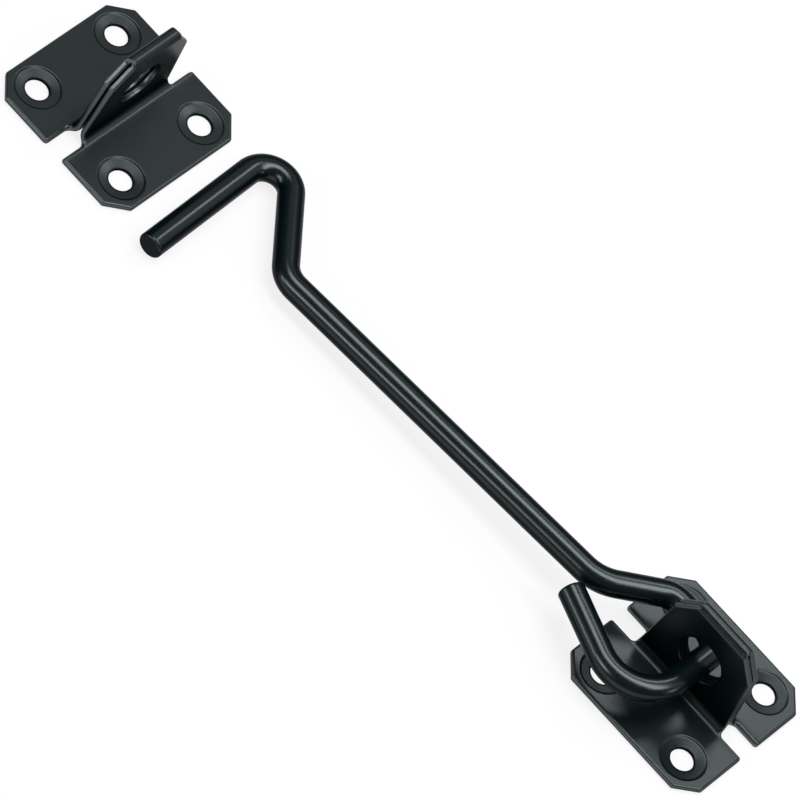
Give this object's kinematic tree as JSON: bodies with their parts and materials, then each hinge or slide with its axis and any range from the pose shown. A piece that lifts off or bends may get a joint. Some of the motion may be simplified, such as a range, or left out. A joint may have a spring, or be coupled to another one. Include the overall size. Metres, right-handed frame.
{
  "type": "hook and eye latch",
  "caption": "Bent round-rod hook hung by its closed loop in the folded ear of a screw plate, with a matching keeper plate whose ear is the eye.",
  "frame": {"origin": "centre of the hook plate's four screw holes, on the back face of that plate", "axes": "+Z out of the mounting surface, +X along the hook plate's fold towards the hook's end and the keeper, +Y the way the hook's tip points"},
  "size_m": [0.211, 0.0462, 0.026],
  "materials": {
    "black_painted_sheet": "satin black paint on pressed sheet steel",
    "black_painted_rod": "satin black paint on bent round steel rod"
  },
  "bodies": {
    "hook_plate": {"hook_plate": "black_painted_sheet"},
    "hook": {"hook": "black_painted_rod"},
    "keeper": {"keeper_plate": "black_painted_sheet"}
  },
  "joints": [
    {"name": "hook_swing", "type": "hinge", "parent": "hook_plate", "child": "hook", "pos_m": [0, 0, 0.01055], "axis": [0, -1, 0], "range_deg": [0, 185.5]},
    {"name": "keeper_lift", "type": "slide", "parent": "hook_plate", "child": "keeper", "axis": [0, 0, 1], "range_m": [0, 0.04]}
  ]
}
